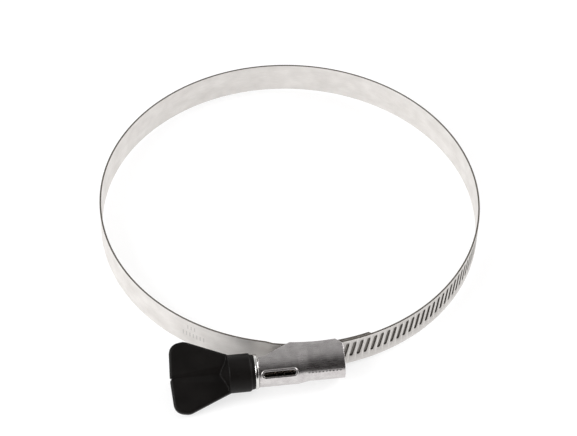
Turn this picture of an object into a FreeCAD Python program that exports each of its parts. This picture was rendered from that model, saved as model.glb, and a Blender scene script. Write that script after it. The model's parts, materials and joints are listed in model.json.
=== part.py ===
"""Worm drive hose clamp with a 12 mm band and a moulded wing on its screw.

The origin is on the hose's axis, at half the band's width. +Z runs along the hose's axis.
The housing sits at -Y and the screw's axis is parallel to X, with the wing at -X.
The clamp is modelled near its largest diameter. Angles along the strap start at the housing
(-Y) and run through +X (right), +Y (back) and -X (left). All lengths are in millimetres.
"""
import FreeCAD, Part
import os
from math import acos, atan2, ceil, cos, degrees, floor, hypot, pi, radians, sin, tan

Vector = FreeCAD.Vector
Z_AXIS = Vector(0, 0, 1)

# Strap: one strip of stainless steel
SEAT_RADIUS = 65.5          # inner radius of the open clamp, where the hose lies
BAND_WIDTH = 12.0
BAND_THICKNESS = 0.6
FOOT_THICKNESS = 0.6        # housing feet folded under the strap
SHEET_GAP = 0.02            # between sheets that lie on each other and never slide
RUN_GAP = 0.2               # between the tongue and the slotted end that slides over it
CHANNEL_GAP = 0.3           # between the slotted end and the barrel's walls
TONGUE_END_ANGLE = radians(17.6)
JOGGLE_START = radians(-15.0)   # where the fixed end steps out over the housing's feet
JOGGLE_STOP = radians(-11.5)

# Slots and thread share one pitch
THREAD_PITCH = 2.5
SLOT_WIDTH = 1.1
SLOT_LENGTH = 7.0
SLOT_DEPTH = 0.47           # the slots are pressed in from outside and leave a thin floor
SLOT_RISE = 1.0             # the row of slots lies above the middle of the band
SLOT_LEAN = radians(11.0)
LAST_SLOT = 34
TAIL_ANGLE = radians(-8.3)
TAIL_CHAMFER = 2.0

# Bending: the strap flexes at these lines, counted in slots from the housing
FLEX_LINES = 9
FIRST_FLEX_LINE = 14.5
FLEX_SPACING = 18
FLEX_GAP = 0.02

# Screw
THREAD_RADIUS = 4.0
THREAD_ROOT_RADIUS = 3.1
THREAD_TURNS = 8.5
THREAD_CENTRE = -5.0        # along X, a whole number of pitches from the hose axis
CREST_WIDTH = 0.3
ROOT_WIDTH = 1.0
ENGAGEMENT = 0.33           # how deep the thread reaches into the slots
NECK_RADIUS = 3.3
NOSE_RADIUS = 2.4
COLLAR_RADIUS = 5.9
COLLAR_THICKNESS = 1.2
HEX_FLATS = 7.0
HEX_LENGTH = 7.5
JOURNAL_GAP = 0.1

# Housing: pressed sheet folded round the screw and the strap
HOUSING_LEFT = -19.75
HOUSING_RIGHT = 8.75
HOUSING_WALL = 0.6
BARREL_RADIUS = 4.7
BULGE_RADIUS = 5.3          # the wider part of the barrel round the window
FLANK_HALF_WIDTH = 6.75
CHANNEL_HALF_WIDTH = 6.12
FLANK_CORNER = 3.9          # from the screw's axis to where the flanks turn straight
FLANK_SWELL = radians(18.0)     # the flanks swell out and meet the barrel this much further round
FOLD_ROUNDING = 0.53        # how far up the legs the rounded lower fold reaches
LEG_START = -8.25           # the legs reach the strap from here to the right end
DIAGONAL_END = -16.8
RING_LENGTH = 2.2           # thick collar of the barrel that carries the screw's neck
END_WALL = 0.9
WINDOW_START = -18.5
WINDOW_STOP = -7.6
WINDOW_WIDTH = 1.8
WINDOW_RIM = 0.55
WINDOW_RIM_HEIGHT = 0.25
WINDOW_TILT = 38.0          # degrees above the -Y direction
BULGE_TAPER = 3.5
RIB_COUNT = 12
RIB_START = -5.6
RIB_SPACING = 1.15
RIB_SIZE = (0.45, 0.5, 1.5)
RIB_HEIGHT = 0.1
RIB_TILT = 18.0

# Wing: moulded plastic
HUB_RADIUS = 6.35
HUB_LENGTH = 8.7
HUB_TAPER = 3.0
LIP_RADIUS = 5.75           # the hub's narrow lip next to the collar, clear of the strap's tail
LIP_LENGTH = 1.2
HUB_GAP = 0.15
WING_LENGTH = 27.7
WING_HALF_SPAN = 12.1
WING_CORNER = 3.6
WING_THICKNESS = 3.4
WING_TILT = 28.0            # degrees: the lobe at -Y hangs down, the other stands up
NOTCH_SIZE = 1.0
VALLEY_HALF_WIDTH = (0.5, 3.0)      # at the notch and at the hub
VALLEY_DEPTH = (0.5, 1.1)

# Derived layout of the layers under the screw
tongue_inner = SEAT_RADIUS + FOOT_THICKNESS + SHEET_GAP
tongue_outer = tongue_inner + BAND_THICKNESS
slotted_inner = tongue_outer + RUN_GAP
SPIRAL_SHIFT = (slotted_inner - SEAT_RADIUS) / 2    # the right half's centre lies this far to -Y
spiral_inner = SEAT_RADIUS + SPIRAL_SHIFT
spiral_outer = spiral_inner + BAND_THICKNESS
SLOT_STEP = THREAD_PITCH / (spiral_inner + BAND_THICKNESS / 2)
screw_y = -(slotted_inner + BAND_THICKNESS + THREAD_RADIUS - ENGAGEMENT)
collar_right = HOUSING_LEFT - HUB_GAP
collar_left = collar_right - COLLAR_THICKNESS
hub_right = collar_left
wing_left = hub_right - WING_LENGTH


def polar(centre_y, radius, angle, z=0.0):
    """Return a point on a circle round (0, centre_y), with angle 0 at -Y."""
    return Vector(radius * sin(angle), centre_y - radius * cos(angle), z)


def ring_sector(centre_y, inner, outer, start, stop, half_width=BAND_WIDTH / 2):
    """Make a curved strip between two radii and two angles, centred on Z = 0."""
    middle = (start + stop) / 2

    def edge(radius, angles):
        return Part.Arc(*[polar(centre_y, radius, a, -half_width) for a in angles]).toShape()

    def side(angle, radii):
        return Part.makeLine(*[polar(centre_y, r, angle, -half_width) for r in radii])

    wire = Part.Wire([
        edge(outer, (start, middle, stop)),
        side(stop, (outer, inner)),
        edge(inner, (stop, middle, start)),
        side(start, (inner, outer)),
    ])
    return Part.Face(wire).extrude(Z_AXIS * (2 * half_width))


def x_cylinder(radius, start, stop):
    """Make a cylinder round the screw's axis, from start to stop along X."""
    return Part.makeCylinder(radius, stop - start, Vector(start, screw_y, 0), Vector(1, 0, 0))


def stadium(length, width, depth):
    """Make a prism with half-round ends, long along Z, centred, going from Y = 0 to -depth."""
    reach = (length - width) / 2
    half = width / 2
    top = Part.Arc(Vector(half, 0, reach), Vector(0, 0, reach + half), Vector(-half, 0, reach))
    low = Part.Arc(Vector(-half, 0, -reach), Vector(0, 0, -reach - half), Vector(half, 0, -reach))
    wire = Part.Wire([
        top.toShape(),
        Part.makeLine(Vector(-half, 0, reach), Vector(-half, 0, -reach)),
        low.toShape(),
        Part.makeLine(Vector(half, 0, -reach), Vector(half, 0, reach)),
    ])
    return Part.Face(wire).extrude(Vector(0, -depth, 0))


def strap_slot(number):
    """Make the tool that presses one slanted slot into the strap's outer face."""
    tool = stadium(SLOT_LENGTH, SLOT_WIDTH, 3 * BAND_THICKNESS)
    tool.rotate(Vector(0, 0, 0), Vector(0, 1, 0), degrees(SLOT_LEAN))
    tool.translate(Vector(SLOT_RISE * tan(SLOT_LEAN), SLOT_DEPTH - spiral_outer, SLOT_RISE))
    tool.rotate(Vector(0, 0, 0), Z_AXIS, degrees(number * SLOT_STEP))
    tool.translate(Vector(0, -SPIRAL_SHIFT, 0))
    return tool


def strap_section(start, stop):
    """Make the strap between two angles: the right half spirals out to pass over the tongue."""
    pieces = []
    if start < pi:
        pieces.append(ring_sector(-SPIRAL_SHIFT, spiral_inner, spiral_outer, start, min(stop, pi)))
    if stop > pi:
        outer = SEAT_RADIUS + BAND_THICKNESS
        pieces.append(ring_sector(0, SEAT_RADIUS, outer, max(start, pi), stop))
    section = pieces[0]
    if len(pieces) > 1:
        section = section.fuse(pieces[1]).removeSplitter()
    first_slot = ceil(start / SLOT_STEP)
    last_slot = min(floor(stop / SLOT_STEP), LAST_SLOT)
    for number in range(first_slot, last_slot + 1):
        section = section.cut(strap_slot(number))
    return section


def flex_angles():
    """Return the angles of the flex lines, each midway between two slots."""
    return [(FIRST_FLEX_LINE + FLEX_SPACING * i) * SLOT_STEP for i in range(FLEX_LINES)]


def corner_cut(centre_y, radius, angle, direction, z_sign):
    """Make a wedge that chamfers one corner of a strap end."""
    reach = TAIL_CHAMFER
    along = Vector(cos(angle), sin(angle), 0) * direction
    tip = polar(centre_y, radius, angle, z_sign * BAND_WIDTH / 2)
    outward = polar(0, 2.0, angle)
    edge_z = Vector(0, 0, z_sign)
    points = [
        tip + along * 1.0 + edge_z,
        tip - along * (reach + 1.0) + edge_z,
        tip + along * 1.0 - edge_z * (reach + 1.0),
    ]
    points = [p - outward for p in points]
    return Part.Face(Part.makePolygon(points + points[:1])).extrude(outward * 2)


def make_slotted_end():
    """Make the free end of the strap, from its chamfered tail to the first flex line."""
    stop = flex_angles()[0] - FLEX_GAP / 2 / SEAT_RADIUS
    end = strap_section(TAIL_ANGLE, stop)
    for z_sign in (-1, 1):
        end = end.cut(corner_cut(-SPIRAL_SHIFT, spiral_inner, TAIL_ANGLE, -1, z_sign))
    return end


def make_fixed_end():
    """Make the end that the housing is clinched on: it steps out and ends as the tongue."""
    start = flex_angles()[-1] - 2 * pi + FLEX_GAP / 2 / SEAT_RADIUS
    outer = SEAT_RADIUS + BAND_THICKNESS
    seat = ring_sector(0, SEAT_RADIUS, outer, start, JOGGLE_START)
    tongue = ring_sector(0, tongue_inner, tongue_outer, JOGGLE_STOP, TONGUE_END_ANGLE)
    step = Part.makePolygon([
        polar(0, SEAT_RADIUS, JOGGLE_START, -BAND_WIDTH / 2),
        polar(0, tongue_inner, JOGGLE_STOP, -BAND_WIDTH / 2),
        polar(0, tongue_outer, JOGGLE_STOP, -BAND_WIDTH / 2),
        polar(0, outer, JOGGLE_START, -BAND_WIDTH / 2),
        polar(0, SEAT_RADIUS, JOGGLE_START, -BAND_WIDTH / 2),
    ])
    joggle = Part.Face(step).extrude(Z_AXIS * BAND_WIDTH)
    end = seat.fuse([joggle, tongue]).removeSplitter()
    for z_sign in (-1, 1):
        end = end.cut(corner_cut(0, tongue_inner, TONGUE_END_ANGLE, 1, z_sign))
    return end


def folded_profile(radius, half_width, corner):
    """Make the face of a sheet fold: an arc round the screw, running into two swollen flanks."""
    distance = hypot(corner, half_width)
    touch = atan2(half_width, corner) + acos(radius / distance) + FLANK_SWELL
    top = 12.0

    def at(reach, z):
        return Vector(0, screw_y + reach, z)

    tangent_v, tangent_z = radius * cos(touch), radius * sin(touch)
    # The flank's arc runs through the corner and touches the barrel: its centre lies beyond the
    # screw's axis, seen from the touching point.
    beyond = (distance ** 2 - radius ** 2) / (2 * (radius - corner * cos(touch) - half_width * sin(touch)))
    centre_v, centre_z = -beyond * cos(touch), -beyond * sin(touch)
    middle = (touch + atan2(half_width - centre_z, corner - centre_v)) / 2
    swell_v = centre_v + (radius + beyond) * cos(middle)
    swell_z = centre_z + (radius + beyond) * sin(middle)
    wire = Part.Wire([
        Part.makeLine(at(top, -half_width), at(corner, -half_width)),
        Part.Arc(at(corner, -half_width), at(swell_v, -swell_z), at(tangent_v, -tangent_z)).toShape(),
        Part.Arc(at(tangent_v, -tangent_z), at(-radius, 0), at(tangent_v, tangent_z)).toShape(),
        Part.Arc(at(tangent_v, tangent_z), at(swell_v, swell_z), at(corner, half_width)).toShape(),
        Part.makeLine(at(corner, half_width), at(top, half_width)),
        Part.makeLine(at(top, half_width), at(top, -half_width)),
    ])
    return Part.Face(wire)


def fold_prism(radius, half_width, corner, start, stop):
    """Extrude a fold profile along X."""
    prism = folded_profile(radius, half_width, corner).extrude(Vector(stop - start, 0, 0))
    prism.translate(Vector(start, 0, 0))
    return prism


def fold_taper(radius, end_radius, half_width, corner, start, stop):
    """Join two fold profiles of different barrel radius along X."""
    ends = []
    for x, size in ((start, radius), (stop, end_radius)):
        wire = folded_profile(size, half_width, corner).OuterWire
        wire.translate(Vector(x, 0, 0))
        ends.append(wire)
    return Part.makeLoft(ends, True, True)


def plan_prism(points):
    """Extrude a plan outline, given as (x, y) pairs, over the housing's whole height."""
    outline = [Vector(x, y, -12) for x, y in points]
    return Part.Face(Part.makePolygon(outline + outline[:1])).extrude(Z_AXIS * 24)


def window_tool(grow, inner_radius, outer_radius):
    """Make a stadium prism that points out of the barrel at the window's tilt."""
    length = WINDOW_STOP - WINDOW_START + 2 * grow
    tool = stadium(length, WINDOW_WIDTH + 2 * grow, outer_radius - inner_radius)
    tool.rotate(Vector(0, 0, 0), Vector(0, 1, 0), 90)
    tool.translate(Vector((WINDOW_START + WINDOW_STOP) / 2, -inner_radius, 0))
    tool.rotate(Vector(0, 0, 0), Vector(1, 0, 0), -WINDOW_TILT)
    tool.translate(Vector(0, screw_y, 0))
    return tool


def make_ribs():
    """Make the row of low ribs on the barrel's crown, right of the window."""
    length, height, width = RIB_SIZE
    ribs = []
    for i in range(RIB_COUNT):
        rib = Part.makeBox(length, height, width, Vector(-length / 2, 0, -width / 2))
        rib.translate(Vector(RIB_START + i * RIB_SPACING, -BARREL_RADIUS - RIB_HEIGHT, 0))
        rib.rotate(Vector(0, 0, 0), Vector(1, 0, 0), -RIB_TILT)
        rib.translate(Vector(0, screw_y, 0))
        ribs.append(rib)
    return ribs


def make_housing():
    """Make the folded sheet housing: barrel, flanks, feet, neck ring, end wall and window."""
    left, right = HOUSING_LEFT, HOUSING_RIGHT
    ring_right = left + RING_LENGTH
    bulge_end = WINDOW_STOP + 0.9
    taper_end = bulge_end + BULGE_TAPER
    outside = (FLANK_HALF_WIDTH, FLANK_CORNER)
    inside = (CHANNEL_HALF_WIDTH, FLANK_CORNER)
    shell = fold_prism(BULGE_RADIUS, *outside, left, bulge_end).fuse([
        fold_taper(BULGE_RADIUS, BARREL_RADIUS, *outside, bulge_end, taper_end),
        fold_prism(BARREL_RADIUS, *outside, taper_end, right),
    ])
    hose_space = Part.makeCylinder(SEAT_RADIUS, 30, Vector(0, 0, -15))
    above_feet = Part.makeCylinder(SEAT_RADIUS + FOOT_THICKNESS, 30, Vector(0, 0, -15))
    hollow = fold_prism(BULGE_RADIUS - HOUSING_WALL, *inside, ring_right, bulge_end).fuse(
        fold_prism(BARREL_RADIUS - HOUSING_WALL, *inside, bulge_end - 0.1, right - END_WALL))
    hollow = hollow.cut(above_feet)
    channel = Part.makeCylinder(spiral_outer + CHANNEL_GAP, 2 * CHANNEL_HALF_WIDTH,
                                Vector(0, -SPIRAL_SHIFT, -CHANNEL_HALF_WIDTH)).cut(above_feet)
    shell = shell.cut(hose_space).cut(hollow)
    # The legs start well right of the neck: a slanted edge joins them to the barrel, which is
    # open on the strap's side from there to its left end.
    shell = shell.cut(plan_prism([
        (left - 5, -55), (LEG_START, -55), (LEG_START, -65.2),
        (DIAGONAL_END, screw_y + 1.6), (DIAGONAL_END - 1.0, screw_y + 1.2),
        (left - 5, screw_y + 1.2),
    ]))
    # The right end's corner is cut off where the legs meet the feet.
    shell = shell.cut(plan_prism([(right - 2.4, -55), (right - 2.4, -65.5), (right, -67.8),
                                  (right + 2, -67.8), (right + 2, -55)]))
    seam = Part.makeBox(40, 2 * FOOT_THICKNESS, 0.3, Vector(-25, -SEAT_RADIUS - 1, -0.15))
    shell = shell.cut(seam)
    # The lower folds are rounded off, so that the feet are as wide as the band on the hose.
    rounding = FLANK_HALF_WIDTH - BAND_WIDTH / 2
    for z_sign in (-1, 1):
        shell = shell.cut(Part.makeCone(SEAT_RADIUS, SEAT_RADIUS + 2 * FOLD_ROUNDING, 2 * rounding,
                                        Z_AXIS * (z_sign * BAND_WIDTH / 2), Z_AXIS * z_sign))
    rim = window_tool(WINDOW_RIM, BARREL_RADIUS - 0.3, BULGE_RADIUS + WINDOW_RIM_HEIGHT)
    shell = shell.fuse([rim] + make_ribs())
    neck_hole = x_cylinder(NECK_RADIUS + JOURNAL_GAP, left - 1, ring_right + 1)
    nose_hole = x_cylinder(NOSE_RADIUS + JOURNAL_GAP, right - END_WALL - 1, right + 1)
    tunnel = x_cylinder(BARREL_RADIUS - HOUSING_WALL, ring_right, right - END_WALL)
    shell = shell.cut([neck_hole, nose_hole, tunnel, channel, window_tool(0, 2.0, 8.0)])
    return shell.removeSplitter()


def make_thread():
    """Make the helical ridge, in phase with the slots on the side that faces the strap."""
    half_root, half_crest = ROOT_WIDTH / 2, CREST_WIDTH / 2
    base = THREAD_ROOT_RADIUS - 0.1
    corners = [
        Vector(base, 0, -half_root), Vector(THREAD_RADIUS, 0, -half_crest),
        Vector(THREAD_RADIUS, 0, half_crest), Vector(base, 0, half_root),
    ]
    profile = Part.makePolygon(corners + corners[:1])
    length = THREAD_TURNS * THREAD_PITCH
    helix = Part.makeHelix(THREAD_PITCH, length, THREAD_ROOT_RADIUS)
    ridge = Part.Wire(helix.Edges).makePipeShell([profile], True, True)
    ridge.rotate(Vector(0, 0, 0), Vector(0, 1, 0), 90)
    ridge.translate(Vector(THREAD_CENTRE - length / 2, screw_y, 0))
    return ridge


def make_screw():
    """Make the screw: hex head, collar, neck, thread and nose, turned from one bar."""
    half_thread = THREAD_TURNS * THREAD_PITCH / 2 + ROOT_WIDTH / 2
    thread_left, thread_right = THREAD_CENTRE - half_thread, THREAD_CENTRE + half_thread
    hexagon = [Vector(collar_left - HEX_LENGTH,
                      screw_y + HEX_FLATS / 2 / cos(pi / 6) * cos(i * pi / 3),
                      HEX_FLATS / 2 / cos(pi / 6) * sin(i * pi / 3)) for i in range(6)]
    head = Part.Face(Part.makePolygon(hexagon + hexagon[:1])).extrude(Vector(HEX_LENGTH, 0, 0))
    collar = x_cylinder(COLLAR_RADIUS, collar_left, collar_right)
    collar = collar.makeFillet(0.4, [collar.Edges[0], collar.Edges[2]])
    neck = x_cylinder(NECK_RADIUS, collar_right - 0.1, thread_left + 0.1)
    core = x_cylinder(THREAD_ROOT_RADIUS, thread_left, thread_right)
    nose = x_cylinder(NOSE_RADIUS, thread_right - 0.1, HOUSING_RIGHT + 0.4)
    nose = nose.makeChamfer(0.35, [nose.Edges[0]])
    return head.fuse([collar, neck, core, nose, make_thread()])


def wing_outline():
    """Return the corner points of the two lobes, as (x, distance across) pairs."""
    root_x = hub_right - HUB_LENGTH + 2.0
    shoulder_x = wing_left + 5.6
    notch = NOTCH_SIZE / 2
    upper = [(root_x, HUB_RADIUS - 0.6), (shoulder_x, WING_HALF_SPAN),
             (wing_left + 0.6, WING_HALF_SPAN - 0.8), (wing_left, notch),
             (wing_left + NOTCH_SIZE, 0)]
    lower = [(x, -w) for x, w in reversed(upper[:-1])]
    return upper + lower


def make_wing():
    """Make the wing: a hub pressed on the hex head, with two flat lobes that taper out."""
    points = [Vector(x, w, -WING_THICKNESS / 2) for x, w in wing_outline()]
    lobes = Part.Face(Part.makePolygon(points + points[:1])).extrude(Z_AXIS * WING_THICKNESS)
    corners = [e for e in lobes.Edges
               if abs(e.tangentAt(e.FirstParameter).z) > 0.99
               and abs(e.Vertexes[0].Point.y) > WING_HALF_SPAN - 1.0]
    lobes = lobes.makeFillet(WING_CORNER, corners)
    rims = [e for e in lobes.Edges if abs(e.BoundBox.ZLength) < 1e-6
            and max(abs(e.BoundBox.YMax), abs(e.BoundBox.YMin)) > HUB_RADIUS]
    lobes = lobes.makeFillet(0.8, rims)
    lip = Part.makeCylinder(LIP_RADIUS, LIP_LENGTH + 0.5, Vector(hub_right, 0, 0), Vector(-1, 0, 0))
    hub = Part.makeCylinder(HUB_RADIUS, HUB_LENGTH - LIP_LENGTH,
                            Vector(hub_right - LIP_LENGTH, 0, 0), Vector(-1, 0, 0))
    hub = hub.makeFillet(0.5, [hub.Edges[0], hub.Edges[2]])
    # A valley runs along the middle of both faces, wider and deeper towards the hub.
    hub_left = hub_right - HUB_LENGTH
    for side in (-1, 1):
        ends = []
        for x, half, depth in zip((wing_left - 0.5, hub_left), VALLEY_HALF_WIDTH, VALLEY_DEPTH):
            surface = side * (WING_THICKNESS / 2 + 0.01)
            corners = [Vector(x, -side * half, surface), Vector(x, 0, surface - side * depth),
                       Vector(x, side * half, surface)]
            ends.append(Part.makePolygon(corners + corners[:1]))
        lobes = lobes.cut(Part.makeLoft(ends, True, True))
    cone = Part.makeCone(HUB_RADIUS - 0.5, WING_THICKNESS / 2 - VALLEY_DEPTH[1], HUB_TAPER,
                         Vector(hub_left + 0.5, 0, 0), Vector(-1, 0, 0))
    wing = hub.fuse([lip, lobes, cone]).removeSplitter()
    socket = [Vector(collar_left + 1, HEX_FLATS / 2 / cos(pi / 6) * cos(i * pi / 3),
                     HEX_FLATS / 2 / cos(pi / 6) * sin(i * pi / 3)) for i in range(6)]
    socket = Part.Face(Part.makePolygon(socket + socket[:1])).extrude(Vector(-HEX_LENGTH - 1, 0, 0))
    socket.rotate(Vector(0, 0, 0), Vector(1, 0, 0), -WING_TILT)
    wing = wing.cut(socket)
    wing.rotate(Vector(0, 0, 0), Vector(1, 0, 0), WING_TILT)
    wing.translate(Vector(0, screw_y, 0))
    return wing


def main():
    """Write every piece of the clamp as its own STEP file."""
    os.makedirs("parts", exist_ok=True)
    lines = flex_angles()
    half_gap = FLEX_GAP / 2 / SEAT_RADIUS
    shapes = {
        "strap_slotted_end": make_slotted_end(),
        "strap_fixed_end": make_fixed_end(),
        "housing": make_housing(),
        "worm_screw": make_screw(),
        "wing_handle": make_wing(),
    }
    for i in range(FLEX_LINES - 1):
        shapes[f"strap_span_{i + 1}"] = strap_section(lines[i] + half_gap, lines[i + 1] - half_gap)
    for name, shape in sorted(shapes.items()):
        shape.exportStep(f"parts/{name}.step")
        box = shape.BoundBox
        print(f"{name:18s} solids {len(shape.Solids)} valid {shape.isValid()} "
              f"volume {shape.Volume:9.2f}  x {box.XMin:7.2f} {box.XMax:7.2f}  "
              f"y {box.YMin:7.2f} {box.YMax:7.2f}  z {box.ZMin:6.2f} {box.ZMax:6.2f}")
    print(f"screw axis y {screw_y:.3f}  slot step {degrees(SLOT_STEP):.4f} deg")
    for i, angle in enumerate(lines):
        centre = -SPIRAL_SHIFT if angle < pi else 0
        radius = spiral_inner if angle < pi else SEAT_RADIUS
        point = polar(centre, radius, angle)
        print(f"flex line {i + 1}: x {point.x:.4f} y {point.y:.4f}")


main()
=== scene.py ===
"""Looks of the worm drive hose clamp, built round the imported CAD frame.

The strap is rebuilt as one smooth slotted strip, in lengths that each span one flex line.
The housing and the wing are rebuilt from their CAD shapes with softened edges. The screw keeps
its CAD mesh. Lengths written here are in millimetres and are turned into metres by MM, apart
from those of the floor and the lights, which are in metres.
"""

import json
import math

import bmesh
import bpy
from mathutils import Matrix, Vector


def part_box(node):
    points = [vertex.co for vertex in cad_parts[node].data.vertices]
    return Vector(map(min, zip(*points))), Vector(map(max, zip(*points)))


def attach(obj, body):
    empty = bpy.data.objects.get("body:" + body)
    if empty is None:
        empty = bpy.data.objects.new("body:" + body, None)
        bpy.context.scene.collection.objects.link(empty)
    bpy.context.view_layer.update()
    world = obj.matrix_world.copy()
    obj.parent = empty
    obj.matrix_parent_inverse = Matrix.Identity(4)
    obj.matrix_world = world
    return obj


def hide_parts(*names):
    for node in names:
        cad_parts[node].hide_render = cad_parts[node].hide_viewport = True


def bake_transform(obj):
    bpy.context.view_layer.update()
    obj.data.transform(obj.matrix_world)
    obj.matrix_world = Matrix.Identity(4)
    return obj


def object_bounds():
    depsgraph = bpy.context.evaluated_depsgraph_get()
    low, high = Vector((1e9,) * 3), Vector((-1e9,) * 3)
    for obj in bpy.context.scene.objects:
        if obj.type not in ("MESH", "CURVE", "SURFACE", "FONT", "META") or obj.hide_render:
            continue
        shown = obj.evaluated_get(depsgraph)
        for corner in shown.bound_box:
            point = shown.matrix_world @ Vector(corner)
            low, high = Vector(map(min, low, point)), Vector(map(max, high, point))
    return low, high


MM = 0.001

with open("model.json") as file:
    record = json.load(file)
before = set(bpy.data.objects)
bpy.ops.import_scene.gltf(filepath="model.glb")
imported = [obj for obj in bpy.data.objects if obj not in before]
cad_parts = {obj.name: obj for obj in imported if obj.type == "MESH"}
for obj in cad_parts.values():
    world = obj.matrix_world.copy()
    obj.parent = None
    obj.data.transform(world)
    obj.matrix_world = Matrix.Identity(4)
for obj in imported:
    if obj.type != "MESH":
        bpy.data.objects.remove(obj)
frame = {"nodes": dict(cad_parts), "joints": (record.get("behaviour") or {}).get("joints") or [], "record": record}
cad_low, cad_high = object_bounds()

# ---------------------------------------------------------------- measures taken from the frame
mounts = {mount["name"]: mount for mount in frame["record"]["mounts"]}
SEAT_RADIUS = mounts["hose_seat"]["dims"]["r_mm"]
BAND_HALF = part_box("strap_span_5")[1].z / MM
BAND_THICKNESS = -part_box("strap_span_7")[0].x / MM - SEAT_RADIUS
SPIRAL_SHIFT = (-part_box("strap_slotted_end")[0].y / MM - SEAT_RADIUS - BAND_THICKNESS) / 2
SPIRAL_RADIUS = SEAT_RADIUS + SPIRAL_SHIFT
FLEX_LINES = sum(joint["name"].startswith("strap_flex_") for joint in frame["joints"])

# ---------------------------------------------------------------- strap measures, as in the CAD
THREAD_PITCH = 2.5
SLOT_STEP = THREAD_PITCH / (SPIRAL_RADIUS + BAND_THICKNESS / 2)
FIRST_FLEX = 14.5           # flex lines are counted in slot steps from X = 0, under the screw
FLEX_SPACING = 18
FIRST_SLOT = -3             # slot 0 lies at X = 0, under the screw
LAST_SLOT = 34
SLOT_WIDTH = 1.1
SLOT_LENGTH = 7.0
SLOT_DEPTH = 0.47
SLOT_RISE = 1.0             # the row of slots lies above the middle of the strap
SLOT_LEAN = math.radians(11.0)
TAIL_ANGLE = math.radians(-8.3)
TAIL_CHAMFER = 2.0
TONGUE_END = 2 * math.pi + math.radians(17.6)
TONGUE_STEP = 0.62          # the fixed end steps out this far over the housing's feet
JOGGLE_START = 2 * math.pi + math.radians(-15.0)
JOGGLE_STOP = 2 * math.pi + math.radians(-11.5)

# ---------------------------------------------------------------- how finely the strap is made
EDGE_ROUND = 0.16           # radius of the strap's long edges
SLOT_EDGE = 0.1             # roll of a slot's rim
RIM_SHADE = 0.35            # how far a slot's rim and floor take the painted shade of the edges, a dark colour standing in for shade
FLOOR_SHADE = 0.9
FACE_POINTS = 15            # points across the strap's flat face
WHOLE_CELL = 0.99           # a cell longer than this, in slot steps, has room for its slot
SHORTEST_CELL = 0.05        # a cell shorter than this is joined to the one before or after it
SHARP_ANGLE = math.radians(38)

# ---------------------------------------------------------------- marks, and the screw's darker stretch
# Engraved marks on the outer face of the fixed end: rows of plain upright ticks, sunk and coloured darker as
# painted shade
# (where the row starts, in degrees along the strap; its height; tick height; number of ticks)
MARK_ROWS = ((320.2, -0.8, 2.1, 7), (321.8, 2.7, 1.8, 3))
MARK_PITCH = 1.3
TICK_HALF = 1 / 9           # of a pitch: a tick is full up to here from its line, gone at twice that

DARKER_MIDDLE = -5.0         # along X: the screw is coloured darker within the reach below, both ways from here
DARKER_REACH = 13.0


def node_tree(name):
    """Start a material and return it with its node tree and its shader."""
    material = bpy.data.materials.new(name)
    material.use_nodes = True
    tree = material.node_tree
    return material, tree, tree.nodes["Principled BSDF"]


def add_node(tree, kind, **values):
    """Add a node, setting its properties and, by name, its input sockets."""
    made = tree.nodes.new(kind)
    for key, value in values.items():
        if hasattr(made, key):
            setattr(made, key, value)
        else:
            made.inputs[key.replace("_", " ")].default_value = value
    return made


def color_ramp(tree, factor, stops):
    """Add a colour ramp fed by a factor, with (position, grey or colour) stops."""
    ramp = tree.nodes.new("ShaderNodeValToRGB")
    elements = ramp.color_ramp.elements
    while len(elements) < len(stops):
        elements.new(0.5)
    for element, (position, value) in zip(elements, stops):
        element.position = position
        element.color = (*value, 1) if isinstance(value, tuple) else (value, value, value, 1)
    tree.links.new(factor, ramp.inputs["Fac"])
    return ramp.outputs["Color"]


def noise(tree, vector, scale, detail, roughness):
    """Add a noise and return its value."""
    made = add_node(tree, "ShaderNodeTexNoise", Scale=scale, Detail=detail, Roughness=roughness)
    tree.links.new(vector, made.inputs["Vector"])
    return made.outputs["Fac"]


def object_space(tree):
    """Return a coordinate that stays on the piece, in metres."""
    return tree.nodes.new("ShaderNodeTexCoord").outputs["Object"]


def scaled_space(tree, where, scale):
    """Return a coordinate scaled by its own factor along each axis."""
    mapping = add_node(tree, "ShaderNodeMapping")
    mapping.inputs["Scale"].default_value = scale
    tree.links.new(where, mapping.inputs["Vector"])
    return mapping.outputs[0]


def mixed(tree, factor, low, high, blend_type="MIX"):
    """Mix two values or sockets by a factor."""
    made = add_node(tree, "ShaderNodeMix", data_type="RGBA", blend_type=blend_type)
    for name, value in (("Factor", factor), ("A", low), ("B", high)):
        socket = made.inputs[name]
        if isinstance(value, bpy.types.NodeSocket):
            tree.links.new(value, socket)
        else:
            socket.default_value = value
    return made.outputs["Result"]


def math_node(tree, operation, first, second=0.0, third=0.0):
    """Compute a value from numbers and sockets."""
    made = add_node(tree, "ShaderNodeMath", operation=operation)
    for socket, value in zip(made.inputs, (first, second, third)):
        if isinstance(value, bpy.types.NodeSocket):
            tree.links.new(value, socket)
        else:
            socket.default_value = value
    return made.outputs[0]


def strip_value(tree, name):
    """Read one of the strap's own coordinates."""
    return add_node(tree, "ShaderNodeAttribute", attribute_name=name).outputs["Fac"]


def stretched(tree, along, across):
    """Return strip coordinates scaled so that a noise is long along the strap."""
    combine = tree.nodes.new("ShaderNodeCombineXYZ")
    for axis, (name, scale) in enumerate((("along", along), ("across", across))):
        scaled = math_node(tree, "MULTIPLY", strip_value(tree, name), scale)
        tree.links.new(scaled, combine.inputs[axis])
    return combine.outputs[0]


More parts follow.
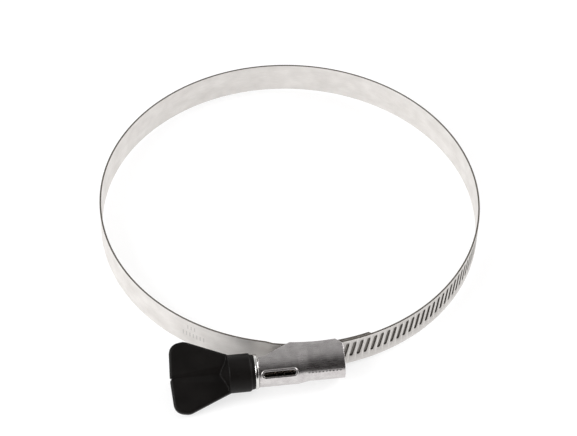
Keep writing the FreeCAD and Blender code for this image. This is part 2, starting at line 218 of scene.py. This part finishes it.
def tick_marks(tree):
    """Return 1 inside the sunk ticks of the strap's outer face, and 0 elsewhere; the ticks are also darkened as
    painted shade.
    """
    along, across = strip_value(tree, "along"), strip_value(tree, "across")
    outer = math_node(tree, "GREATER_THAN", strip_value(tree, "out"), BAND_THICKNESS * 0.9)
    total = 0.0
    for start, height, tall, count in MARK_ROWS:
        begin = math.radians(start) * SEAT_RADIUS
        steps = math_node(tree, "DIVIDE", math_node(tree, "SUBTRACT", along, begin), MARK_PITCH)
        wave = math_node(tree, "PINGPONG", steps, 0.5)
        fading = math_node(tree, "MULTIPLY_ADD", wave, -1 / TICK_HALF, 2.0)
        tick = math_node(tree, "MAXIMUM", math_node(tree, "MINIMUM", fading, 1.0), 0.0)
        middle = math_node(tree, "COMPARE", across, height, tall / 2)
        inside = math_node(tree, "COMPARE", steps, (count - 1) / 2, count / 2)
        row = math_node(tree, "MULTIPLY", math_node(tree, "MULTIPLY", tick, middle), inside)
        total = math_node(tree, "ADD", row, total)
    return math_node(tree, "MULTIPLY", total, outer)


def add_bump(tree, shader, layers):
    """Chain bump nodes, each (height socket, distance in mm, strength), into the shader."""
    normal = None
    for height, distance, strength in layers:
        made = add_node(tree, "ShaderNodeBump", Strength=strength, Distance=distance * MM)
        tree.links.new(height, made.inputs["Height"])
        if normal is not None:
            tree.links.new(normal, made.inputs["Normal"])
        normal = made.outputs["Normal"]
    tree.links.new(normal, shader.inputs["Normal"])


def strap_material():
    """Rolled stainless strip: fine lengthwise streaks and faint patches, with painted shade on the edges, in the
    slots and in the sunk ticks.
    """
    material, tree, shader = node_tree("strap_steel")
    shader.inputs["Metallic"].default_value = 0.68
    streaks = noise(tree, stretched(tree, 0.25, 9.0), scale=1.0, detail=4.0, roughness=0.6)
    patches = noise(tree, stretched(tree, 0.16, 0.22), scale=1.0, detail=2.0, roughness=0.5)
    scratches = noise(tree, stretched(tree, 0.9, 30.0), scale=1.0, detail=2.0, roughness=0.7)
    face = color_ramp(tree, streaks, [(0.3, (0.72, 0.69, 0.665)), (0.7, (0.81, 0.79, 0.77))])
    tint = color_ramp(tree, patches, [(0.3, (0.88, 0.875, 0.87)), (0.7, (1.0, 1.0, 1.0))])
    toned = mixed(tree, 1.0, face, tint, "MULTIPLY")
    # painted shade: the strap's rounded edges and its slots' rims, walls and floors are coloured dark, standing in
    # for their shade and dark reflections
    painted_shade = strip_value(tree, "painted_shade")
    marks = tick_marks(tree)
    # painted shade: the sunk ticks are coloured darker, standing in for the shade in their grooves
    ticks_with_painted_shade = mixed(tree, math_node(tree, "MULTIPLY", marks, 0.35), toned, (0.25, 0.24, 0.24, 1))
    colour = mixed(tree, painted_shade, ticks_with_painted_shade, (0.12, 0.108, 0.095, 1))
    tree.links.new(colour, shader.inputs["Base Color"])
    rough_face = color_ramp(tree, scratches, [(0.3, 0.5), (0.75, 0.64)])
    rough = mixed(tree, painted_shade, rough_face, (0.5, 0.5, 0.5, 1))
    tree.links.new(rough, shader.inputs["Roughness"])
    sunk = math_node(tree, "MULTIPLY", marks, -1.0)
    add_bump(tree, shader, [(streaks, 0.01, 0.3), (patches, 0.25, 0.35), (sunk, 0.06, 0.8)])
    return material


def housing_material():
    """Pressed sheet: mottled satin grey with drawing marks along the barrel."""
    material, tree, shader = node_tree("housing_steel")
    shader.inputs["Metallic"].default_value = 1.0
    where = object_space(tree)
    drawn_out = scaled_space(tree, where, (0.12, 1.0, 1.0))
    drawn = noise(tree, drawn_out, scale=2600.0, detail=3.0, roughness=0.6)
    patches = noise(tree, where, scale=420.0, detail=3.0, roughness=0.55)
    colour = color_ramp(tree, patches, [(0.3, (0.54, 0.51, 0.51)), (0.72, (0.68, 0.655, 0.645))])
    tree.links.new(colour, shader.inputs["Base Color"])
    rough = color_ramp(tree, drawn, [(0.3, 0.24), (0.75, 0.34)])
    tree.links.new(rough, shader.inputs["Roughness"])
    add_bump(tree, shader, [(drawn, 0.01, 0.35), (patches, 0.05, 0.35)])
    return material


def screw_material():
    """Bright turned steel with fine tool rings, coloured darker over a stretch of the thread."""
    material, tree, shader = node_tree("screw_steel")
    shader.inputs["Metallic"].default_value = 1.0
    where = object_space(tree)
    turned = scaled_space(tree, where, (1.0, 0.05, 0.05))
    rings = noise(tree, turned, scale=6000.0, detail=2.0, roughness=0.5)
    patches = noise(tree, where, scale=500.0, detail=2.0, roughness=0.5)
    clean = color_ramp(tree, patches, [(0.3, (0.66, 0.65, 0.63)), (0.7, (0.78, 0.77, 0.75))])
    split = tree.nodes.new("ShaderNodeSeparateXYZ")
    tree.links.new(where, split.inputs[0])
    # the screw is coloured darker over a stretch along X
    darker_stretch = math_node(tree, "COMPARE", split.outputs["X"], DARKER_MIDDLE * MM, DARKER_REACH * MM)
    colour = mixed(tree, darker_stretch, clean, (0.3, 0.26, 0.22, 1))
    tree.links.new(colour, shader.inputs["Base Color"])
    rough = color_ramp(tree, rings, [(0.3, 0.16), (0.75, 0.28)])
    tree.links.new(rough, shader.inputs["Roughness"])
    add_bump(tree, shader, [(rings, 0.008, 0.3)])
    return material


def plastic_material():
    """Black moulded plastic with a fine spark-eroded grain and faint cloudy patches."""
    material, tree, shader = node_tree("wing_plastic")
    where = object_space(tree)
    grain = noise(tree, where, scale=5200.0, detail=3.0, roughness=0.65)
    cloud = noise(tree, where, scale=220.0, detail=2.0, roughness=0.5)
    colour = color_ramp(tree, cloud, [(0.3, (0.0027, 0.0021, 0.0018)), (0.7, (0.0042, 0.0034, 0.003))])
    tree.links.new(colour, shader.inputs["Base Color"])
    rough = color_ramp(tree, cloud, [(0.3, 0.46), (0.7, 0.55)])
    tree.links.new(rough, shader.inputs["Roughness"])
    shader.inputs["Specular IOR Level"].default_value = 0.14
    add_bump(tree, shader, [(grain, 0.03, 0.5)])
    return material


def floor_material():
    """Pale matt board, with a glow of its own that keeps it near white."""
    material, tree, shader = node_tree("floor_board")
    patches = noise(tree, object_space(tree), scale=30.0, detail=2.0, roughness=0.5)
    tone = color_ramp(tree, patches, [(0.3, 0.35), (0.7, 0.37)])
    tree.links.new(tone, shader.inputs["Base Color"])
    shader.inputs["Roughness"].default_value = 0.9
    shader.inputs["Emission Color"].default_value = (1, 1, 1, 1)
    shader.inputs["Emission Strength"].default_value = 0.66
    return material


# ---------------------------------------------------------------- strap
def smooth_step(value):
    """Ease from 0 to 1."""
    value = min(max(value, 0.0), 1.0)
    return value * value * (3 - 2 * value)


def strap_point(angle, across, out):
    """Return a point of the strap in metres: angle from the housing, height, distance out."""
    if angle <= math.pi:
        centre, radius = -SPIRAL_SHIFT, SPIRAL_RADIUS
    else:
        rise = smooth_step((angle - JOGGLE_START) / (JOGGLE_STOP - JOGGLE_START))
        centre, radius = 0.0, SEAT_RADIUS + TONGUE_STEP * rise
    reach = radius + out
    return Vector((reach * math.sin(angle), centre - reach * math.cos(angle), across)) * MM


def end_half_width(angle):
    """Return half the strap's width, which narrows over the chamfers of its two ends."""
    distance = min(angle - TAIL_ANGLE, TONGUE_END - angle) * SEAT_RADIUS
    return BAND_HALF - max(0.0, TAIL_CHAMFER - distance)


class Strip:
    """A strap length made cell by cell: vertices at the same place are shared."""

    def __init__(self):
        self.mesh = bmesh.new()
        names = ("painted_shade", "along", "across", "out")
        self.layers = [self.mesh.verts.layers.float.new(name) for name in names]
        self.found = {}

    def vertex(self, angle, across, out, painted_shade=0.0):
        """Return the vertex at a strap coordinate, made once. Its last value darkens its colour as painted shade.
        """
        key = (round(angle * 1e6), round(across * 1e5), round(out * 1e5))
        if key not in self.found:
            made = self.mesh.verts.new(strap_point(angle, across, out))
            for layer, value in zip(self.layers, (painted_shade, angle * SEAT_RADIUS, across, out)):
                made[layer] = value
            self.found[key] = made
        return self.found[key]

    def loops(self, first, second):
        """Join two closed loops of coordinates with quads."""
        for i in range(len(first)):
            j = (i + 1) % len(first)
            self.face([first[i], first[j], second[j], second[i]])

    def face(self, coordinates):
        """Add a face unless it has shrunk to nothing or is there already."""
        corners = []
        for coordinate in coordinates:
            found = self.vertex(*coordinate)
            if found not in corners:
                corners.append(found)
        if len(corners) > 2 and self.mesh.faces.get(corners) is None:
            self.mesh.faces.new(corners)


def face_heights(angle):
    """Return the heights of the points across the strap's flat face."""
    half = end_half_width(angle) - EDGE_ROUND
    return [half * (2 * i / (FACE_POINTS - 1) - 1) for i in range(FACE_POINTS)]


def rounded_side(angle, sign):
    """Return the coordinates round one long rounded side, from the outer face to the inner face; the rounding
    carries painted shade.
    """
    half = end_half_width(angle)
    points = []
    for quarter, middle in enumerate((BAND_THICKNESS - EDGE_ROUND, EDGE_ROUND)):
        for i in range(4):
            turn = math.radians(30 * i + 90 * quarter)
            across = half - EDGE_ROUND + EDGE_ROUND * math.sin(turn)
            # painted shade: the rounding is coloured dark, all but its points on the flat faces
            painted_shade = 0.0 if (quarter, i) in ((0, 0), (1, 3)) else 1.0
            points.append((angle, sign * across, middle + EDGE_ROUND * math.cos(turn), painted_shade))
    return points


def slot_loop(number, grow, out, painted_shade):
    """Return one outline of a slot, counter-clockwise, matched to cell_loop's points."""
    half = SLOT_WIDTH / 2 + grow
    reach = (SLOT_LENGTH - SLOT_WIDTH) / 2
    corner = math.radians(45)
    arc = corner * half
    side_length = 2 * reach + 2 * arc

    def side_point(fraction, sign):
        """Return the point at a fraction of one side: an eighth turn, the straight, an eighth turn."""
        distance = fraction * side_length
        if distance < arc:
            turn = -corner + distance / half
            return sign * half * math.cos(turn), -reach + half * math.sin(turn)
        if distance > arc + 2 * reach:
            turn = (distance - arc - 2 * reach) / half
            return sign * half * math.cos(turn), reach + half * math.sin(turn)
        return sign * half, -reach + distance - arc

    points = [(0.0, -reach - half)]
    points += [side_point(i / (FACE_POINTS - 1), 1) for i in range(FACE_POINTS)]
    points.append((0.0, reach + half))
    points += [side_point(i / (FACE_POINTS - 1), -1) for i in reversed(range(FACE_POINTS))]
    loop = []
    for x, z in points:
        leant = x * math.cos(SLOT_LEAN) + z * math.sin(SLOT_LEAN) + SLOT_RISE * math.tan(SLOT_LEAN)
        height = z * math.cos(SLOT_LEAN) - x * math.sin(SLOT_LEAN) + SLOT_RISE
        loop.append((number * SLOT_STEP + leant / SPIRAL_RADIUS, height, out, painted_shade))
    return loop


def cell_loop(left, middle, right, out):
    """Return the outline of a cell's flat face, counter-clockwise from the bottom's middle."""
    loop = [(middle, face_heights(middle)[0], out)]
    loop += [(right, height, out) for height in face_heights(right)]
    loop.append((middle, face_heights(middle)[-1], out))
    loop += [(left, height, out) for height in reversed(face_heights(left))]
    return loop


def add_slot(strip, outline, number):
    """Fill a cell's outer face round a pressed slot: the rolled rim, the wall and the floor, coloured darker as
    painted shade.
    """
    rim = slot_loop(number, SLOT_EDGE, BAND_THICKNESS, RIM_SHADE)
    wall = slot_loop(number, 0.0, BAND_THICKNESS - SLOT_EDGE, 1.0)
    floor = slot_loop(number, 0.0, BAND_THICKNESS - SLOT_DEPTH, FLOOR_SHADE)
    strip.loops(outline, rim)
    strip.loops(rim, wall)
    strip.loops(wall, floor)
    strip.face([floor[0], floor[1], floor[-1]])
    for i in range(1, FACE_POINTS):
        strip.face([floor[i], floor[i + 1], floor[-i - 1], floor[-i]])
    strip.face([floor[FACE_POINTS], floor[FACE_POINTS + 1], floor[FACE_POINTS + 2]])


def add_cell(strip, left, right, slot):
    """Add one cell of the strap, with the pressed slot of that number or with None."""
    middle = (left + right) / 2
    stations = [left, right] if slot is None else [left, middle, right]
    flat_faces = (0.0, BAND_THICKNESS) if slot is None else (0.0,)
    for first, second in zip(stations, stations[1:]):
        for sign in (-1, 1):
            a, b = rounded_side(first, sign), rounded_side(second, sign)
            for i in range(len(a) - 1):
                strip.face([a[i], b[i], b[i + 1], a[i + 1]])
    for first, second in zip(stations, stations[1:]):
        a, b = face_heights(first), face_heights(second)
        for out in flat_faces:
            for i in range(FACE_POINTS - 1):
                strip.face([(first, a[i], out), (second, b[i], out),
                            (second, b[i + 1], out), (first, a[i + 1], out)])
    if slot is not None:
        add_slot(strip, cell_loop(left, middle, right, BAND_THICKNESS), slot)


def add_cap(strip, angle):
    """Close the strip at an end."""
    loop = [(angle, height, BAND_THICKNESS) for height in face_heights(angle)]
    loop += rounded_side(angle, 1)[1:-1]
    loop += [(angle, height, 0.0) for height in reversed(face_heights(angle))]
    loop += list(reversed(rounded_side(angle, -1)[1:-1]))
    strip.face(loop)


def make_strap_length(name, start, stop):
    """Make the strap between two positions, counted in slot steps from the housing."""
    strip = Strip()
    borders = [start] + [b + 0.5 for b in range(math.ceil(start - 0.5), math.ceil(stop - 0.5))]
    borders = [b for b in borders if b < stop - SHORTEST_CELL] + [stop]
    borders = [borders[0]] + [b for b in borders[1:] if b > start + SHORTEST_CELL]
    for left, right in zip(borders, borders[1:]):
        slot = round((left + right) / 2)
        whole = right - left > WHOLE_CELL
        number = slot if whole and FIRST_SLOT <= slot <= LAST_SLOT else None
        add_cell(strip, left * SLOT_STEP, right * SLOT_STEP, number)
    add_cap(strip, start * SLOT_STEP)
    add_cap(strip, stop * SLOT_STEP)
    bmesh.ops.recalc_face_normals(strip.mesh, faces=strip.mesh.faces)
    mesh = bpy.data.meshes.new(name)
    strip.mesh.to_mesh(mesh)
    strip.mesh.free()
    mesh.polygons.foreach_set("use_smooth", [True] * len(mesh.polygons))
    mesh.set_sharp_from_angle(angle=SHARP_ANGLE)
    piece = bpy.data.objects.new(name, mesh)
    bpy.context.scene.collection.objects.link(piece)
    return piece


def make_strap(material):
    """Make the strap's lengths, each spanning one flex line, from the tail to the tongue."""
    nodes = ["strap_slotted_end"] + [f"strap_span_{i}" for i in range(1, FLEX_LINES)]
    nodes.append("strap_fixed_end")
    flex = [FIRST_FLEX + FLEX_SPACING * i for i in range(FLEX_LINES)]
    cuts = [TAIL_ANGLE / SLOT_STEP] + [f + FLEX_SPACING / 2 for f in flex[:-1]]
    cuts.append(TONGUE_END / SLOT_STEP)
    for i, line in enumerate(flex):
        piece = make_strap_length(f"strap_{i + 1}", cuts[i], cuts[i + 1])
        piece.data.materials.append(material)
        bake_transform(piece)
        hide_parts(nodes[i], nodes[i + 1])


# ---------------------------------------------------------------- softened CAD shapes
def softened(node, name, voxel, rounds, keep):
    """Rebuild a CAD shape with soft edges: remeshed finely, smoothed and thinned out.

    The work is done in millimetres and the result is scaled back to metres.
    """
    mesh = frame["nodes"][node].data.copy()
    mesh.materials.clear()
    mesh.transform(Matrix.Scale(1 / MM, 4))
    work = bmesh.new()
    work.from_mesh(mesh)
    bmesh.ops.remove_doubles(work, verts=work.verts, dist=1e-4)
    work.to_mesh(mesh)
    work.free()
    piece = bpy.data.objects.new(name, mesh)
    bpy.context.scene.collection.objects.link(piece)
    remesh = piece.modifiers.new("remesh", "REMESH")
    remesh.mode = "VOXEL"
    remesh.voxel_size = voxel
    smooth = piece.modifiers.new("smooth", "SMOOTH")
    smooth.factor = 0.5
    smooth.iterations = rounds
    thin = piece.modifiers.new("thin", "DECIMATE")
    thin.ratio = keep
    bpy.context.view_layer.update()
    depsgraph = bpy.context.evaluated_depsgraph_get()
    final = bpy.data.meshes.new_from_object(piece.evaluated_get(depsgraph))
    piece.modifiers.clear()
    final.transform(Matrix.Scale(MM, 4))
    final.polygons.foreach_set("use_smooth", [True] * len(final.polygons))
    piece.data = final
    final.name = name
    return piece


def set_up_piece(piece, material, body, node):
    """Give a piece its finish and body, and hide the CAD node it stands for."""
    piece.data.materials.append(material)
    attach(piece, body)
    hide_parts(node)


# ---------------------------------------------------------------- studio
CAMERA_ELEVATION = math.radians(48.0)
CAMERA_AZIMUTH = math.radians(-9.0)
CAMERA_ROLL = math.radians(1.72)
CAMERA_LENS = 130.0
CAMERA_SENSOR = 36.0
RING_IN_VIEW = (-0.17, -0.2, 738.5)      # where the camera sees the ring's centre: right, up, ahead
FLOOR_HALF = 3.0            # half the board's side, in metres
FLOOR_DROP = 0.0001         # the board lies this far under the clamp, in metres


def make_camera():
    """Look down at the ring from the front, a little from the wing's side."""
    right = Vector((1, 0, 0))
    up = Vector((0, math.sin(CAMERA_ELEVATION), math.cos(CAMERA_ELEVATION)))
    ahead = Vector((0, math.cos(CAMERA_ELEVATION), -math.sin(CAMERA_ELEVATION)))
    rolled_right = math.cos(CAMERA_ROLL) * right + math.sin(CAMERA_ROLL) * up
    rolled_up = -math.sin(CAMERA_ROLL) * right + math.cos(CAMERA_ROLL) * up
    x, y, z = RING_IN_VIEW
    position = -(rolled_right * x + rolled_up * y + ahead * z) * MM
    position.z -= BAND_HALF * MM
    turn = Matrix.Rotation(CAMERA_AZIMUTH, 4, "Z")
    pose = Matrix((rolled_right, rolled_up, -ahead)).transposed().to_4x4()
    pose.translation = position
    data = bpy.data.cameras.new("camera")
    data.lens = CAMERA_LENS
    data.sensor_width = CAMERA_SENSOR
    data.clip_start, data.clip_end = 0.01, 20
    camera = bpy.data.objects.new("camera", data)
    camera.matrix_world = turn @ pose
    bpy.context.scene.collection.objects.link(camera)
    bpy.context.scene.camera = camera


def make_floor():
    """Lay a pale board under the clamp."""
    mesh = bpy.data.meshes.new("floor")
    level = cad_low.z - FLOOR_DROP
    signs = ((-1, -1), (1, -1), (1, 1), (-1, 1))
    corners = [(x * FLOOR_HALF, y * FLOOR_HALF, level) for x, y in signs]
    mesh.from_pydata(corners, [], [(0, 1, 2, 3)])
    floor = bpy.data.objects.new("floor", mesh)
    mesh.materials.append(floor_material())
    bpy.context.scene.collection.objects.link(floor)


def make_world():
    """Surround the scene with a soft dome: white at the horizon, grey overhead, dark in front."""
    world = bpy.data.worlds.new("studio")
    bpy.context.scene.world = world
    world.use_nodes = True
    tree = world.node_tree
    background = tree.nodes["Background"]
    direction = tree.nodes.new("ShaderNodeTexCoord").outputs["Generated"]
    split = tree.nodes.new("ShaderNodeSeparateXYZ")
    tree.links.new(direction, split.inputs[0])
    dome = color_ramp(tree, split.outputs["Z"], [
        (0.0, 1.0), (0.35, 1.0), (0.6, 0.55), (0.85, 0.45), (1.0, 0.4)])
    # The room in front of the table is dark: barrels show it as a dark band over their crown.
    frontal = math_node(tree, "MULTIPLY", split.outputs["Y"], -1.0)
    sideways = color_ramp(tree, frontal, [(0.12, 0.0), (0.45, 1.0)])
    raised = color_ramp(tree, split.outputs["Z"], [(0.06, 0.0), (0.2, 1.0)])
    dark = math_node(tree, "MULTIPLY", sideways, raised)
    surround = mixed(tree, dark, dome, (0.018, 0.015, 0.015, 1))
    tree.links.new(surround, background.inputs["Color"])
    background.inputs["Strength"].default_value = 1.0


def make_light(name, place_at, size, power, mirrored=True):
    """Hang a soft box that faces the clamp; bright metal shows it only if it is mirrored."""
    data = bpy.data.lights.new(name, "AREA")
    data.shape = "RECTANGLE"
    data.size, data.size_y = size
    data.energy = power
    lamp = bpy.data.objects.new(name, data)
    lamp.location = place_at
    lamp.rotation_euler = (-Vector(place_at)).to_track_quat("-Z", "Y").to_euler()
    lamp.visible_glossy = mirrored
    bpy.context.scene.collection.objects.link(lamp)


def make_studio():
    """Set up the camera, floor, dome and soft boxes."""
    make_camera()
    make_floor()
    make_world()
    make_light("left_box", (-0.9, -0.3, 0.7), (0.7, 0.7), 9.0)
    make_light("right_box", (0.9, 0.2, 0.7), (0.6, 0.8), 7.0)
    make_light("front_fill", (-0.15, -0.9, 0.6), (0.6, 0.6), 4.5, mirrored=False)
    bpy.context.scene.view_settings.view_transform = "Standard"


# ---------------------------------------------------------------- the clamp
make_studio()
make_strap(strap_material())
shell = softened("housing", "housing_shell", voxel=0.1, rounds=3, keep=0.35)
set_up_piece(shell, housing_material(), "root", "housing")
wing = softened("wing_handle", "wing", voxel=0.2, rounds=6, keep=0.4)
set_up_piece(wing, plastic_material(), "screw", "wing_handle")
turned_steel = screw_material()
for slot in frame["nodes"]["worm_screw"].material_slots:
    slot.material = turned_steel
